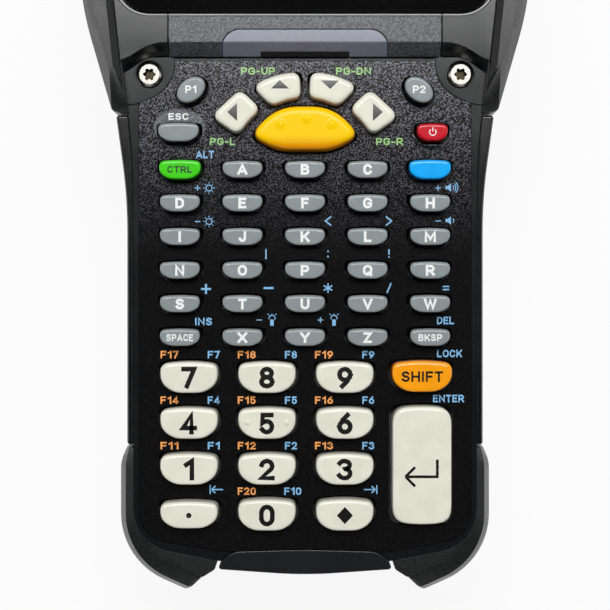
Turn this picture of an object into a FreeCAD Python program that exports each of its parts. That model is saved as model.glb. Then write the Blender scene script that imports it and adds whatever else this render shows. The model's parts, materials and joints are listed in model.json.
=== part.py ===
import FreeCAD, Part
import math
import os
from FreeCAD import Vector

# Portable barcode data terminal, lying on its back with the keypad up.
# Millimetres. +X to the right of the keypad, +Y towards the scanning head, +Z out of the keypad.
# The origin is the middle of the floor under the whole terminal.

# Overall size
LENGTH = 234.0
HEAD_HALF = 45.2
HEIGHT = 56.0

# Heights above the floor
PARTING = 30.0
BOARD_SEAT = 42.0
PLATE_SEAT = 48.9
RAIL_TOP = 50.0
PLATE_TOP = 50.5
KEY_TOP = 53.6
BEZEL_TOP = 54.5

# Walls and gaps
WALL = 2.3
GAP = 0.35
SEAM = 0.15

# Housing seen from the front: right side from tail to head, as x, y and how much a corner is cut
HOUSING_SIDE = [
    (17.0, -110.8, 2.0),
    (34.4, -107.4, 7.5),
    (34.4, -30.0, 8.0),
    (38.4, 8.0, 8.0),
    (38.4, 111.5, 12.0),
]

# Keypad
PLATE_SIDE = [(16.8, -108.7, 1.0), (33.2, -105.7, 5.0), (33.2, -10.6, 0.3)]
PLATE_THICK = 1.6
WELL_SIDE = [
    (30.6, -105.4, 3.0),
    (30.6, -19.8, 0.8),
    (26.8, -18.6, 0.8),
    (26.8, -15.6, 0.6),
    (25.4, -13.6, 0.6),
    (25.4, -11.9, 0.4),
]
KEY_TRAVEL = 1.0
KEY_BEVEL = 0.45
KEY_DRAFT = 0.25
FLANGE_THICK = 0.7
FLANGE_LIP = 0.55
PLUNGER_R = 1.3
PLUNGER_BOTTOM = BOARD_SEAT + 3.2 + KEY_TRAVEL
LETTER_PITCH_X = 12.4
LETTER_PITCH_Y = 6.66
LETTER_TOP_Y = -32.5
LETTER_SIZE = (7.9, 3.4)
FUNCTION_SIZE = (8.2, 3.8)
NUMBER_X = [-23.0, -7.55, 7.9]
NUMBER_PITCH_Y = 9.1
NUMBER_TOP_Y = -73.7
NUMBER_SIZE = (11.3, 6.2)
WIDE_X = 23.2
SCREW_X = 31.1
SCREW_Y = -13.3
SCREW_HEAD_R = 2.5

# Display
GLASS_HALF = 37.1
GLASS_Y = (-1.5, 88.0)
GLASS_THICK = 1.5
STRIP_HALF = 26.9
LENS_HALF = 16.4
LIP = 0.6
MODULE_HALF = 31.5
MODULE_Y = (5.0, 84.0)

# Battery bay in the back
BAY_HALF = 22.8
BAY_Y = (-100.6, -18.4)
BAY_ROOF = 21.8
PACK_BOTTOM = 0.8
LATCH_TRAVEL = 2.5

# Waist in the back, where the fingers go: floor height and the two slopes
WAIST = [(-16.0, 0.0), (-6.0, 10.0), (30.0, 10.0), (44.0, 0.0)]
UNDER_BEVEL = 8.0

# Case screws on each side
CASE_SCREWS = [(29.6, -94.0), (29.6, -34.0), (33.2, 56.0), (33.2, 96.0)]
CASE_SCREW_SEAT = 12.0
CASE_SCREW_R = 1.25

# Side scan buttons
BUTTON_Y = 28.0
BUTTON_Z = 35.0
BUTTON_LONG = 26.0
BUTTON_HIGH = 12.0
BUTTON_PROUD = 0.7
BUTTON_TRAVEL = 1.2
BUTTON_BACK_X = 39.0 + BUTTON_TRAVEL


def rounded(points, height):
    """Closed wire through corners (x, y, cut); an arc starts that far before each corner."""
    starts = []
    ends = []
    middles = []
    count = len(points)
    for index, (x, y, cut) in enumerate(points):
        corner = Vector(x, y, height)
        before = Vector(points[index - 1][0], points[index - 1][1], height) - corner
        after_point = points[(index + 1) % count]
        after = Vector(after_point[0], after_point[1], height) - corner
        before.normalize()
        after.normalize()
        start = corner + before * cut
        end = corner + after * cut
        half_open = before.getAngle(after) / 2
        reach = cut / math.cos(half_open)
        radius = cut * math.tan(half_open)
        inward = before + after
        inward.normalize()
        starts.append(start)
        ends.append(end)
        middles.append(corner + inward * (reach - radius))
    edges = []
    for index in range(count):
        edges.append(Part.Arc(starts[index], middles[index], ends[index]).toShape())
        edges.append(Part.makeLine(ends[index], starts[(index + 1) % count]))
    return Part.Wire(edges)


def both_sides(side):
    return side + [(-x, y, cut) for x, y, cut in reversed(side)]


def inset(side, amount):
    """The same right side moved inwards: its ends move along y too."""
    moved = []
    for index, (x, y, cut) in enumerate(side):
        shift = 0.0
        if y < -100.0:
            shift = amount
        if y > 100.0:
            shift = -amount
        moved.append((x - amount, y + shift, max(cut - amount / 2, 0.5)))
    return moved


def prism(points, bottom, top):
    return Part.Face(rounded(points, bottom)).extrude(Vector(0, 0, top - bottom))


def tapered(points, top_points, bottom, top):
    """A solid whose outline changes evenly from one height to another."""
    return Part.makeLoft([rounded(points, bottom), rounded(top_points, top)], True, True)


def profile_x(points, left, right):
    """A solid whose section in y and z runs along x."""
    corners = [Vector(left, y, z) for y, z in points]
    face = Part.Face(Part.makePolygon(corners + corners[:1]))
    return face.extrude(Vector(right - left, 0, 0))


def box(x0, x1, y0, y1, z0, z1):
    return Part.makeBox(x1 - x0, y1 - y0, z1 - z0, Vector(x0, y0, z0))


def post(radius, x, y, z0, z1):
    return Part.makeCylinder(radius, z1 - z0, Vector(x, y, z0))


def ellipse(x, y, long_half, short_half, tilt, bottom, top):
    curve = Part.Ellipse(Vector(0, 0, 0), long_half, short_half).toShape()
    solid = Part.Face(Part.Wire([curve])).extrude(Vector(0, 0, top - bottom))
    solid.rotate(Vector(0, 0, 0), Vector(0, 0, 1), tilt)
    solid.translate(Vector(x, y, bottom))
    return solid


def edges_at(solid, height):
    return [
        edge for edge in solid.Edges
        if abs(edge.BoundBox.ZMin - height) < 1e-4 and abs(edge.BoundBox.ZMax - height) < 1e-4
    ]


def bevel_at(solid, height, size):
    return solid.makeChamfer(size, edges_at(solid, height))


def rounded_box(x0, x1, y0, y1, z0, z1, cut):
    corners = [(x0, y0, cut), (x1, y0, cut), (x1, y1, cut), (x0, y1, cut)]
    return prism(corners, z0, z1)


def mirror_x(shape):
    return shape.mirror(Vector(0, 0, 0), Vector(1, 0, 0))


def fused(first, others):
    return first.fuse(others).removeSplitter()


def save(name, shape):
    solids = shape.Solids
    bound = shape.BoundBox
    print(
        name, len(solids), "solids", "valid" if shape.isValid() else "NOT VALID",
        "volume", round(sum(solid.Volume for solid in solids), 1),
        "z", round(bound.ZMin, 2), round(bound.ZMax, 2),
    )
    result = solids[0] if len(solids) == 1 else Part.makeCompound(solids)
    result.exportStep("parts/" + name + ".step")


# Keys
def bowl_outline(x, y, width, height):
    """Flat crown, short sides and a deep round lower edge, as most keys have."""
    half = width / 2
    right = [
        (0.55 * half, -0.5 * height, 0.24 * height),
        (half, -0.17 * height, 0.24 * height),
        (half, 0.40 * height, 0.13 * height),
    ]
    crown = [(0.0, 0.52 * height, 0.62 * half)]
    left = [(-px, py, cut) for px, py, cut in reversed(right)]
    return [(x + px, y + py, cut) for px, py, cut in right + crown + left]


def slab_outline(x, y, width, height):
    """Tall key with crowned ends."""
    half = width / 2
    top = height / 2
    right = [(half, -top + 0.5, 1.7), (half, top - 0.5, 1.7)]
    crown = [(0.0, top, 0.5 * half)]
    foot = [(0.0, -top, 0.5 * half)]
    left = [(-px, py, cut) for px, py, cut in reversed(right)]
    return [(x + px, y + py, cut) for px, py, cut in right + crown + left + foot]


def grown(points, amount):
    """The outline made larger all round, by moving each corner away from the middle."""
    xs = [point[0] for point in points]
    ys = [point[1] for point in points]
    middle_x = (min(xs) + max(xs)) / 2
    middle_y = (min(ys) + max(ys)) / 2
    half_x = (max(xs) - min(xs)) / 2
    half_y = (max(ys) - min(ys)) / 2
    result = []
    for x, y, cut in points:
        scale_x = (half_x + amount) / half_x
        scale_y = (half_y + amount) / half_y
        result.append((
            middle_x + (x - middle_x) * scale_x,
            middle_y + (y - middle_y) * scale_y,
            cut + amount * 0.4,
        ))
    return result


LEFT_ARROW = [
    (-9.0, -20.4, 1.2),
    (-12.8, -16.8, 1.1),
    (-18.4, -22.0, 1.3),
    (-13.4, -25.4, 1.1),
    (-11.45, -22.7, 1.6),
]
UP_ARROW = [
    (-0.9, -18.0, 0.8),
    (-1.1, -13.2, 1.2),
    (-5.9, -13.9, 2.4),
    (-10.2, -16.0, 1.2),
    (-6.6, -19.8, 1.2),
    (-3.75, -18.5, 1.6),
]
SCAN_KEY = [
    (-10.6, -25.7, 1.3),
    (-5.4, -28.6, 2.4),
    (5.4, -28.6, 2.4),
    (10.6, -25.7, 1.3),
    (5.6, -20.0, 4.0),
    (-5.6, -20.0, 4.0),
]


def mirrored(points):
    return [(-x, y, cut) for x, y, cut in reversed(points)]


def key_from(points, lip_out=FLANGE_LIP):
    """A key's drafted cap, the lip that holds it under the plate, and its hole in the plate."""
    lip_top = PLATE_SEAT - GAP
    base = grown(points, KEY_DRAFT)
    cap = tapered(base, points, lip_top - 0.2, KEY_TOP - KEY_BEVEL)
    crown = tapered(points, grown(points, -KEY_BEVEL), KEY_TOP - KEY_BEVEL, KEY_TOP)
    lip = prism(grown(base, lip_out), lip_top - FLANGE_THICK, lip_top)
    centre = Part.Face(rounded(points, 0)).CenterOfMass
    plunger = post(PLUNGER_R, centre.x, centre.y, PLUNGER_BOTTOM, lip_top - FLANGE_THICK + 0.1)
    hole = prism(grown(base, GAP), PLATE_SEAT - 1, KEY_TOP)
    return fused(cap, [crown, lip, plunger]), hole, centre


def oval_key(x, y, long_half, short_half, tilt):
    lip_top = PLATE_SEAT - GAP
    cap = ellipse(x, y, long_half + KEY_DRAFT, short_half + KEY_DRAFT, tilt, lip_top - 0.2, KEY_TOP)
    cap = bevel_at(cap, KEY_TOP, KEY_BEVEL + KEY_DRAFT)
    grow = KEY_DRAFT + FLANGE_LIP
    lip = ellipse(x, y, long_half + grow, short_half + grow, tilt, lip_top - FLANGE_THICK, lip_top)
    plunger = post(PLUNGER_R, x, y, PLUNGER_BOTTOM, lip_top - FLANGE_THICK + 0.1)
    room = KEY_DRAFT + GAP
    hole = ellipse(x, y, long_half + room, short_half + room, tilt, PLATE_SEAT - 1, KEY_TOP)
    return fused(cap, [lip, plunger]), hole, Vector(x, y, 0)


def letter_place(column, row):
    return (column - 2) * LETTER_PITCH_X, LETTER_TOP_Y - row * LETTER_PITCH_Y


def make_keys():
    """Every key by node name, with the holes and plunger places that the plate and mat need."""
    keys = {}
    holes = []
    places = []

    def add(node, made):
        solid, hole, centre = made
        keys.setdefault(node, []).append(solid)
        holes.append(hole)
        places.append((centre.x, centre.y))

    add("key_program_left", oval_key(-22.6, -16.7, 3.1, 2.2, 38.0))
    add("key_program_right", oval_key(22.6, -16.7, 3.1, 2.2, -38.0))
    add("key_arrow_up", key_from(UP_ARROW, 0.0))
    add("key_arrow_down", key_from(mirrored(UP_ARROW), 0.0))
    add("key_arrow_left", key_from(LEFT_ARROW, 0.0))
    add("key_arrow_right", key_from(mirrored(LEFT_ARROW), 0.0))
    add("key_scan", key_from(SCAN_KEY, 0.0))
    add("key_escape", key_from(bowl_outline(-25.1, -25.1, 8.0, 3.7)))
    add("key_power", key_from(bowl_outline(25.3, -25.1, 6.0, 3.4)))
    control_x, control_y = letter_place(0, 0)
    add("key_control", key_from(bowl_outline(control_x, control_y, *FUNCTION_SIZE)))
    add("key_function", key_from(bowl_outline(-control_x, control_y, *FUNCTION_SIZE)))

    first_columns = [1, 0, 0, 0, 0, 0]
    last_columns = [3, 4, 4, 4, 4, 4]
    row_nodes = ["key_row_a", "key_row_b", "key_row_c", "key_row_d", "key_row_e", "key_row_f"]
    for row, node in enumerate(row_nodes):
        for column in range(first_columns[row], last_columns[row] + 1):
            x, y = letter_place(column, row)
            add(node, key_from(bowl_outline(x, y, *LETTER_SIZE)))

    digit_nodes = [
        ["key_seven", "key_eight", "key_nine"],
        ["key_four", "key_five", "key_six"],
        ["key_one", "key_two", "key_three"],
        ["key_point", "key_zero", "key_diamond"],
    ]
    for row, nodes in enumerate(digit_nodes):
        y = NUMBER_TOP_Y - row * NUMBER_PITCH_Y
        for x, node in zip(NUMBER_X, nodes):
            height = 5.3 if node == "key_point" else NUMBER_SIZE[1]
            add(node, key_from(bowl_outline(x, y, NUMBER_SIZE[0], height)))
    add("key_shift", key_from(bowl_outline(WIDE_X, -73.5, 11.8, 6.2)))
    add("key_enter", key_from(slab_outline(WIDE_X, -91.2, 11.6, 23.6)))
    return keys, holes, places


# Keypad stack
def screw_tab(grow):
    """The corner of the front housing that comes up through the plate round each keypad screw."""
    corners = [
        (26.2 - grow, -8.0, 0.2),
        (26.2 - grow, -13.6 - grow, 2.4),
        (29.0 - grow, -17.2 - grow, 2.0),
        (33.9, -19.2 - grow, 0.8),
        (42.0, -19.2 - grow, 0.5),
        (42.0, -8.0, 0.5),
    ]
    return prism(corners, PARTING, PLATE_TOP + 1)


def make_keypad_plate(holes):
    plate = prism(both_sides(PLATE_SIDE), PLATE_SEAT, PLATE_SEAT + PLATE_THICK)
    ring = ellipse(25.3, -25.1, 4.1, 3.1, 0.0, PLATE_TOP - 0.2, PLATE_TOP + 0.6)
    plate = plate.fuse(bevel_at(ring, PLATE_TOP + 0.6, 0.5))
    tab = screw_tab(SEAM)
    cover = tail_block(SEAM, PARTING, HEIGHT)
    return plate.cut([tab, mirror_x(tab), cover] + holes)


def make_keypad_mat(places):
    side = inset(WELL_SIDE, GAP)
    mat = prism(both_sides(side), BOARD_SEAT + 1.6, BOARD_SEAT + 3.4)
    wells = [post(PLUNGER_R + 0.5, x, y, BOARD_SEAT, PLATE_TOP) for x, y in places]
    return mat.cut(wells)


def make_keypad_board():
    side = inset(WELL_SIDE, GAP)
    board = prism(both_sides(side), BOARD_SEAT, BOARD_SEAT + 1.6)
    socket = box(-12.0, 12.0, -34.0, -29.0, BOARD_SEAT - 3.0, BOARD_SEAT)
    chips = [box(x, x + 9.0, y, y + 9.0, BOARD_SEAT - 1.4, BOARD_SEAT)
             for x, y in [(-20.0, -60.0), (8.0, -60.0), (-6.0, -84.0)]]
    return fused(board, [socket] + chips)


def torx_socket(x, y, radius, bottom, top):
    """Six-lobed recess: a round core with six round lobes."""
    lobes = []
    for turn in range(6):
        angle = math.radians(60 * turn)
        reach = radius * 0.72
        lobes.append(post(radius * 0.3, x + reach * math.cos(angle), y + reach * math.sin(angle),
                          bottom, top))
    return post(radius * 0.78, x, y, bottom, top).fuse(lobes)


def make_keypad_screws():
    screws = []
    for side in (-1, 1):
        x = side * SCREW_X
        head = post(SCREW_HEAD_R, x, SCREW_Y, PLATE_TOP - 1.9, PLATE_TOP + 0.3)
        head = bevel_at(head, PLATE_TOP + 0.3, 0.5)
        head = head.cut(torx_socket(x, SCREW_Y, 1.25, PLATE_TOP - 1.1, PLATE_TOP + 1))
        shaft = post(CASE_SCREW_R, x, SCREW_Y, PARTING + 6, PLATE_TOP - 1.9)
        screws.append(fused(head, [shaft]))
    return Part.makeCompound(screws)


# Housings
# Where the frame round the display meets the keypad, and its edge higher up after the slope
BEZEL_FOOT = [(31.4, -9.9, 2.4), (36.8, -13.8, 2.2), (45.0, -15.0, 0.5), (45.0, 120.0, 0.5)]
BEZEL_EDGE = [(30.4, -7.5, 2.8), (35.6, -11.0, 2.4), (45.0, -12.4, 0.5), (45.0, 120.0, 0.5)]


def case_screw_places():
    return [(side * x, y) for side in (-1, 1) for x, y in CASE_SCREWS]


def cavity(side, bottom, top):
    return prism(both_sides(inset(side, WALL)), bottom, top)


def make_front_housing():
    outline = both_sides(HOUSING_SIDE)
    body = prism(outline, PARTING, RAIL_TOP)
    head = tapered(both_sides(BEZEL_FOOT), both_sides(BEZEL_EDGE), RAIL_TOP, BEZEL_TOP)
    head = head.common(prism(outline, PARTING, BEZEL_TOP))
    shell = fused(body, [head])

    # Keypad recess and the stepped well under it, clear of the two screw tabs
    recess = prism([(x + SEAM if x > 0 else x - SEAM, y - SEAM if y < -100 else y + SEAM, cut)
                    for x, y, cut in both_sides(PLATE_SIDE)], PLATE_SEAT, HEIGHT)
    tab = screw_tab(0.0)
    tabs = [tab, mirror_x(tab)]
    recess = recess.cut(tabs)
    well = prism(both_sides(WELL_SIDE), BOARD_SEAT, HEIGHT).cut(tabs)
    board_ledge = rounded_box(-28.2, 28.2, -103.0, -21.0, PARTING, BOARD_SEAT + 1, 2.0)
    under_body = cavity(HOUSING_SIDE, PARTING - 1, BOARD_SEAT - 1.6)
    shell = shell.cut([recess, well, board_ledge, under_body])
    tab_tops = [one.common(prism(outline, PARTING + 12, PLATE_TOP)).cut(box(-60, 60, -9.9, 60, 0, HEIGHT))
                for one in tabs]
    shell = fused(shell, tab_tops)

    # Room behind the display, its opening and the seat of the glass
    behind = cavity(HOUSING_SIDE, PARTING - 1, BEZEL_TOP - 3.4)
    behind = behind.common(box(-60, 60, -7.0, 120.0, 0, HEIGHT))
    opening = rounded_box(-MODULE_HALF - 0.5, MODULE_HALF + 0.5, MODULE_Y[0] - 0.5,
                          MODULE_Y[1] + 0.5, PARTING, HEIGHT, 2.0)
    seat = prism(glass_outline(SEAM), BEZEL_TOP - 1.9, HEIGHT)
    lip = tapered(glass_outline(SEAM), glass_outline(SEAM + LIP), BEZEL_TOP - LIP, BEZEL_TOP)
    strip_room = strip_block(SEAM)
    shell = shell.cut([behind, opening, seat, lip, strip_room])

    # Screw bosses, and the holes for the keypad screws and side buttons
    bosses = [post(3.4, x, y, PARTING, BOARD_SEAT - 1.0) for x, y in case_screw_places()]
    bosses += [post(3.0, side * SCREW_X, SCREW_Y, PARTING + 4, PLATE_TOP - 2.2) for side in (-1, 1)]
    shell = fused(shell, bosses)
    bores = [post(CASE_SCREW_R + 0.05, x, y, PARTING - 1, BOARD_SEAT - 3.0)
             for x, y in case_screw_places()]
    for side in (-1, 1):
        bores.append(post(CASE_SCREW_R + 0.05, side * SCREW_X, SCREW_Y, PARTING + 5, HEIGHT))
        bores.append(post(SCREW_HEAD_R + 0.3, side * SCREW_X, SCREW_Y, PLATE_TOP - 1.95, HEIGHT))
    shell = shell.cut(bores)
    return shell.cut(button_way() + [tail_block(SEAM, PLATE_TOP - 2.0, HEIGHT)])


def glass_outline(grow):
    """The display window from above, made larger all round."""
    x = GLASS_HALF + grow
    cut = 6.4 + 0.6 * grow
    return [(x, GLASS_Y[0] - grow, cut), (x, GLASS_Y[1] + grow, cut),
            (-x, GLASS_Y[1] + grow, cut), (-x, GLASS_Y[0] - grow, cut)]


def strip_block(grow):
    """The trim strip below the display, flat on top and sloping down to the keypad."""
    section = [(-1.8 + grow, PLATE_TOP + 2.2 - grow), (-1.8 + grow, BEZEL_TOP - LIP), (-1.8 - LIP, BEZEL_TOP),
               (-7.5, BEZEL_TOP), (-9.8 - grow, PLATE_TOP + 0.5), (-9.8 - grow, PLATE_TOP - 0.4 - grow),
               (-8.4, PLATE_TOP - 0.4 - grow), (-5.9, PLATE_TOP + 2.2 - grow)]
    return profile_x(section, -STRIP_HALF - 2 * grow, STRIP_HALF + 2 * grow)


def make_indicator_lens(grow):
    """Clear light bar let into the trim strip, with a notch in its lower edge."""
    section = [(-5.0 + grow, BEZEL_TOP - 1.2 - grow), (-5.0 + grow, BEZEL_TOP),
               (-7.5, BEZEL_TOP), (-9.8 - grow, PLATE_TOP + 0.5), (-9.8 - grow, PLATE_TOP - 0.2),
               (-9.2, PLATE_TOP - 0.2), (-6.9, BEZEL_TOP - 1.2 - grow)]
    half = LENS_HALF + grow
    lens = profile_x(section, -half, half)
    notch = box(-8.8 + grow, 8.8 - grow, -12.0, -9.0 - grow, 0.0, HEIGHT)
    window = [(half, -14.0, 0.5), (half, -5.0 + grow, 3.6)]
    return lens.common(prism(both_sides(window), 0.0, HEIGHT)).cut(notch)


def make_bezel_strip():
    return strip_block(0.0).cut(make_indicator_lens(0.1))


def make_rear_housing():
    outer = prism(both_sides(HOUSING_SIDE), 0.0, PARTING)
    outer = bevel_at(outer, 0.0, UNDER_BEVEL)
    waist = profile_x([(WAIST[0][0], -1.0)] + WAIST + [(WAIST[3][0], -1.0)], -60.0, 60.0)
    outer = outer.cut(waist)

    inner = prism(both_sides(inset(HOUSING_SIDE, WALL)), WALL, PARTING + 1)
    inner = bevel_at(inner, WALL, UNDER_BEVEL - 1.0)
    raised = [(-20.0, -1.0), (-19.6, 0.0), (-7.0, 10.0 + WALL), (31.0, 10.0 + WALL), (47.6, 0.0), (48.0, -1.0)]
    inner = inner.cut(profile_x(raised, -60.0, 60.0))
    shell = outer.cut(inner)

    # Battery bay: walls and roof inside the case, open underneath
    bay_walls = box(-BAY_HALF - 1.8, BAY_HALF + 1.8, BAY_Y[0] - 1.8, BAY_Y[1] + 1.8, 0.5, BAY_ROOF + 1.8)
    latch_block = box(-12.0, 12.0, BAY_Y[1], -3.0, 0.5, 14.0)
    shell = fused(shell, [bay_walls.common(outer), latch_block.common(outer)])
    bay = rounded_box(-BAY_HALF, BAY_HALF, BAY_Y[0], BAY_Y[1], -1.0, BAY_ROOF, 2.0)
    contact_way = box(-9.2, 9.2, -33.2, -24.8, BAY_ROOF - 1, BAY_ROOF + 4)
    channel = box(-8.4, 8.4, -14.6, LATCH_TRAVEL, 7.2, 10.0)
    tongue_way = box(-5.4, 5.4, BAY_Y[1] - 0.5, -14.0, 7.2, 10.0)

    # Guides that carry the latch against the waist
    guides = []
    for side in (-1, 1):
        outside = box(8.4, 10.6, -5.0, 8.0, 6.2, 10.2)
        lip = box(7.2, 10.6, -5.0, 8.0, 6.2, 7.2)
        guide = outside.fuse(lip)
        guides.append(guide if side > 0 else mirror_x(guide))
    shell = fused(shell, guides)
    shell = shell.cut([bay, contact_way, channel, tongue_way])

    # Bosses with sunk seats for the case screws
    places = case_screw_places()
    shell = fused(shell, [post(4.4, x, y, 0.0, PARTING).common(outer) for x, y in places])
    shell = shell.cut([post(3.1, x, y, -1.0, CASE_SCREW_SEAT) for x, y in places])
    shell = shell.cut([post(CASE_SCREW_R + 0.3, x, y, 0.0, PARTING + 1) for x, y in places])

    # Scan window opening with its seat, speaker slots and the cradle contact opening
    window_way = box(-18.5, 18.5, 100.0, 120.0, 9.0, 27.0)
    window_seat = box(-20.5, 20.5, 110.2, 120.0, 7.0, 29.0)
    slots = [rounded_box(-8.0, 8.0, 62.0 + 3.4 * row, 63.4 + 3.4 * row, -1.0, 4.0, 0.6)
             for row in range(5)]
    contact_hole = box(-12.2, 12.2, -115.0, -105.0, 12.8, 25.2)
    return shell.cut([window_way, window_seat, contact_hole] + slots)


# Rubber
BUMPER_FACET = 2.4
BUMPER_INNER_FACET = 1.2
BUMPER_SHOULDER = 51.5
BUMPER_SIDE = [
    (37.4, -20.9, 0.3),
    (38.5, -20.6, 0.5),
    (44.9, 1.5, 8.0),
    (HEAD_HALF, 30.0, 8.0),
    (HEAD_HALF, LENGTH / 2, 16.0),
]


def button_window(grow, inner, outer):
    """A long block with rounded ends that runs along x, the shape of the right side button."""
    half_long = BUTTON_LONG / 2 + grow
    half_high = BUTTON_HIGH / 2 + grow
    corners = [
        (BUTTON_Y - half_long, BUTTON_Z - half_high, 4.0),
        (BUTTON_Y + half_long, BUTTON_Z - half_high, 4.0),
        (BUTTON_Y + half_long, BUTTON_Z + half_high, 4.0),
        (BUTTON_Y - half_long, BUTTON_Z + half_high, 4.0),
    ]
    solid = prism(corners, inner, outer)
    solid.transformShape(FreeCAD.Matrix(0, 0, 1, 0, 1, 0, 0, 0, 0, 1, 0, 0, 0, 0, 0, 1))
    return solid


def button_way():
    """Holes for the side buttons' stems through both side walls."""
    hole = box(30.0, 40.0, BUTTON_Y - 6.4, BUTTON_Y + 6.4, BUTTON_Z - 2.9, BUTTON_Z + 2.9)
    return [hole, mirror_x(hole)]


def make_head_bumper():
    """U of rubber round the scanning head, with two arms that run down beside the keypad."""
    top_side = inset(BUMPER_SIDE, BUMPER_FACET)
    block = prism(both_sides(BUMPER_SIDE), 14.0, BUMPER_SHOULDER)
    block = fused(block, [tapered(both_sides(BUMPER_SIDE), both_sides(top_side), BUMPER_SHOULDER, HEIGHT)])

    # Room for the housing, with a groove round the display frame and a facet above it
    groove = both_sides(inset(HOUSING_SIDE, -2 * SEAM))
    facet = both_sides(inset(HOUSING_SIDE, -2 * SEAM - BUMPER_INNER_FACET))
    block = block.cut([
        prism(both_sides(HOUSING_SIDE), 0.0, HEIGHT + 1),
        prism(groove, BEZEL_TOP - 1.5, HEIGHT + 1),
        tapered(groove, facet, BEZEL_TOP, HEIGHT),
    ])
    scan_mouth = box(-24.0, 24.0, 100.0, 120.0, 0.0, 31.0)
    windows = button_window(0.45, 35.0, 60.0)
    block = block.cut([scan_mouth, windows, mirror_x(windows)])

    # The arms rise towards their ends underneath and fall away on top
    under = profile_x([(-30.0, 0.0), (-30.0, 40.0), (-20.0, 40.0), (6.0, 14.0), (6.0, 0.0)], -60, 60)
    above = profile_x([(-12.4, HEIGHT), (-22.0, PLATE_TOP), (-22.0, 60.0), (-12.4, 60.0)], -60, 60)
    return block.cut([under, above])


def make_side_grip():
    """Rubber pad along the right side of the body, up to the arm of the head bumper."""
    edge = [(20.0, -87.4, 0.3), (35.65, -87.4, 0.6), (35.65, -38.0, 7.0), (37.9, -21.4, 0.6), (20.0, -21.4, 0.3)]
    pad = prism(edge, 12.0, RAIL_TOP)
    return pad.cut(prism(both_sides(HOUSING_SIDE), 0.0, HEIGHT))


# Foot: heights of its widest line, its outer edge and its ridge, and how far in the last two lie
FOOT_WIDEST_Z = 45.5
FOOT_EDGE_Z = 49.3
FOOT_RIDGE_Z = 50.3
FOOT_EDGE = 1.4
FOOT_RIDGE = 4.4

# What rounding takes off the heel's tip
HEEL_ROUND = 0.3


def foot_outline(amount):
    """The right foot from above, with its outer edge and heel moved inwards."""
    return [
        (15.0, -100.0, 0.3),
        (18.0, -112.3, 0.5),
        (20.7, -114.0, 0.6),
        (23.8 - 0.6 * amount, -LENGTH / 2 - HEEL_ROUND + 0.832 * amount, 1.0 - 0.15 * amount),
        (37.4 - amount, -111.2 + 0.665 * amount, 9.5 - 0.4 * amount),
        (37.4 - amount, -91.0, 1.5),
        (36.0 - 0.5 * amount, -87.8, 0.5),
        (20.0, -87.8, 0.3),
    ]


def make_foot_bumper():
    """Rubber corner at the tail: a steep outer band, a slope up to a ridge and a flat inner face."""
    widest = foot_outline(0.0)
    edge = foot_outline(FOOT_EDGE)
    ridge = foot_outline(FOOT_RIDGE)
    block = prism(widest, 6.0, FOOT_WIDEST_Z)
    band = tapered(widest, edge, FOOT_WIDEST_Z, FOOT_EDGE_Z)
    slope = tapered(edge, ridge, FOOT_EDGE_Z, FOOT_RIDGE_Z)
    return fused(block, [band, slope]).cut(prism(both_sides(HOUSING_SIDE), 0.0, HEIGHT))


TAIL_COVER = [
    (-15.9, -108.8, 3.0),
    (-17.5, -112.3, 0.8),
    (0.0, -113.5, 6.0),
    (17.5, -112.3, 0.8),
    (15.9, -108.8, 3.0),
    (0.0, -108.3, 6.0),
]


def tail_block(grow, bottom, top):
    """The tail cover's outline as a block, made larger all round."""
    return prism(grown(TAIL_COVER, grow), bottom, top)


def make_tail_cover():
    cap = tail_block(0.0, PARTING + 2, PLATE_TOP - 0.1)
    return cap.cut(prism(both_sides(HOUSING_SIDE), 0.0, PLATE_TOP - 2.0))


# Display stack
def make_display_window():
    glass_top = BEZEL_TOP - 0.3
    glass = prism(glass_outline(0.0), glass_top - GLASS_THICK, glass_top)
    return bevel_at(glass, glass_top, 0.3)


def make_display_gasket():
    top = BEZEL_TOP - 0.3 - GLASS_THICK
    outer = rounded_box(-MODULE_HALF, MODULE_HALF, MODULE_Y[0], MODULE_Y[1], top - 0.7, top, 2.0)
    inner = rounded_box(-MODULE_HALF + 2, MODULE_HALF - 2, MODULE_Y[0] + 2, MODULE_Y[1] - 2,
                        top - 1, top + 1, 1.0)
    return outer.cut(inner)


def make_display_module():
    top = BEZEL_TOP - 0.3 - GLASS_THICK - 0.7
    panel = rounded_box(-MODULE_HALF, MODULE_HALF, MODULE_Y[0], MODULE_Y[1], top - 4.6, top, 1.0)
    tail = box(-10.0, 10.0, MODULE_Y[0] + 4, MODULE_Y[0] + 20, top - 5.6, top - 4.5)
    return fused(panel, [tail])


def make_display_bracket():
    top = BEZEL_TOP - 0.3 - GLASS_THICK - 0.7 - 4.6 - 1.2
    tray = rounded_box(-34.0, 34.0, 1.0, 87.0, top - 1.2, top, 2.0)
    ribs = [box(x, x + 1.2, 1.0, 87.0, top - 3.2, top - 1.0) for x in (-30.0, 28.8)]
    windows = [rounded_box(x, x + 24.0, y, y + 34.0, top - 3, top + 1, 2.0)
               for x in (-26.0, 2.0) for y in (7.0, 47.0)]
    return fused(tray, ribs).cut(windows)


# Inside
def make_main_board():
    board = rounded_box(-25.6, 25.6, -98.0, 96.0, PARTING + 2.0, PARTING + 3.6, 2.0)
    chips = [
        box(-18.0, -2.0, 20.0, 36.0, PARTING + 3.5, PARTING + 5.6),
        box(4.0, 18.0, 22.0, 34.0, PARTING + 3.5, PARTING + 5.0),
        box(-16.0, 16.0, 52.0, 76.0, PARTING + 3.5, PARTING + 6.5),
        box(-14.0, 10.0, -56.0, -40.0, PARTING + 3.5, PARTING + 5.5),
        box(-20.0, 0.0, -88.0, -72.0, PARTING + 3.5, PARTING + 5.0),
    ]
    return fused(board, chips)


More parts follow.
